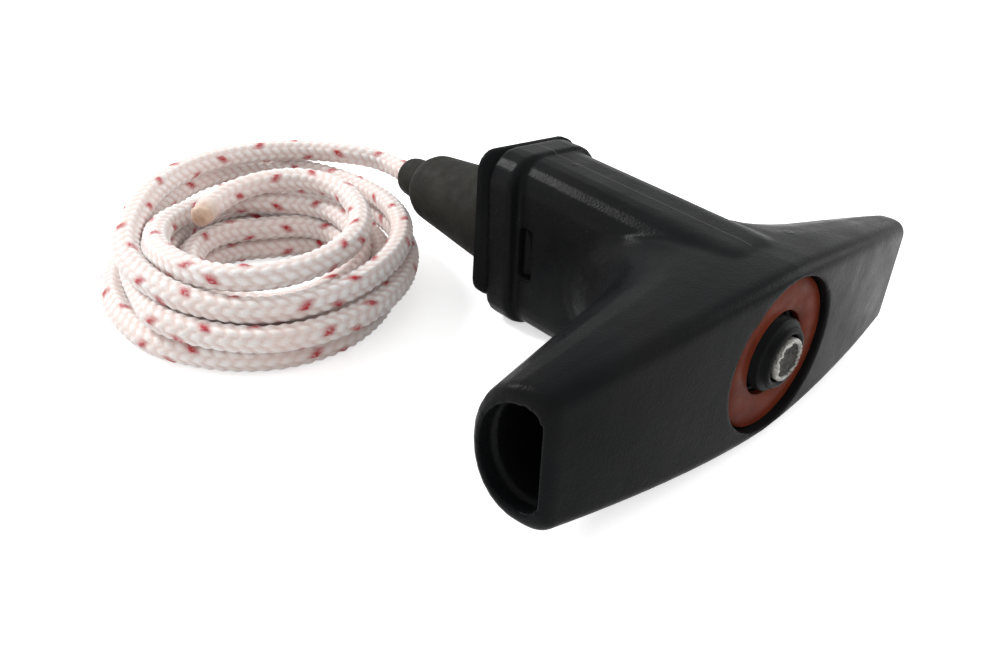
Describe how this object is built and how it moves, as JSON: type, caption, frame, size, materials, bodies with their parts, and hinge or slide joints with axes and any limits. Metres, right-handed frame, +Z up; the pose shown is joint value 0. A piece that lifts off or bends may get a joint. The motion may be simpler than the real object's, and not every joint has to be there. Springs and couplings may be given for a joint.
{
  "type": "recoil starter handle",
  "caption": "T-shaped pull grip with a sprung rope anchor behind a coloured disc, a rubber bend boot and a coiled starter rope.",
  "frame": {"origin": "on the surface the handle lies on, under the flat underside of the stem, 30 mm behind the front face", "axes": "+X along the cross bar, +Y from the front face back along the stem and rope, +Z up from the surface"},
  "size_m": [0.1141, 0.1345, 0.033],
  "materials": {
    "moulded_black": "moulded black nylon",
    "plug_black": "smooth black nylon",
    "disc_orange": "orange-red moulded plastic",
    "boot_rubber": "matt grey-black rubber",
    "rope_braid": "white braided nylon with red flecks",
    "spring_steel": "plain spring wire"
  },
  "bodies": {
    "handle": {"grip_body": "moulded_black", "cover_disc": "disc_orange", "rear_guide": "moulded_black", "bend_boot": "boot_rubber", "damper_spring": "spring_steel"},
    "plunger": {"anchor_plug": "plug_black", "rope_core": "rope_braid", "rope_lead": "rope_braid", "rope_coil": "rope_braid"}
  },
  "joints": [
    {"name": "plunger_slide", "type": "slide", "parent": "handle", "child": "plunger", "axis": [0, 1, 0], "range_m": [0, 0.008], "stiffness_N_per_m": 2500, "deforming": ["damper_spring"]}
  ]
}
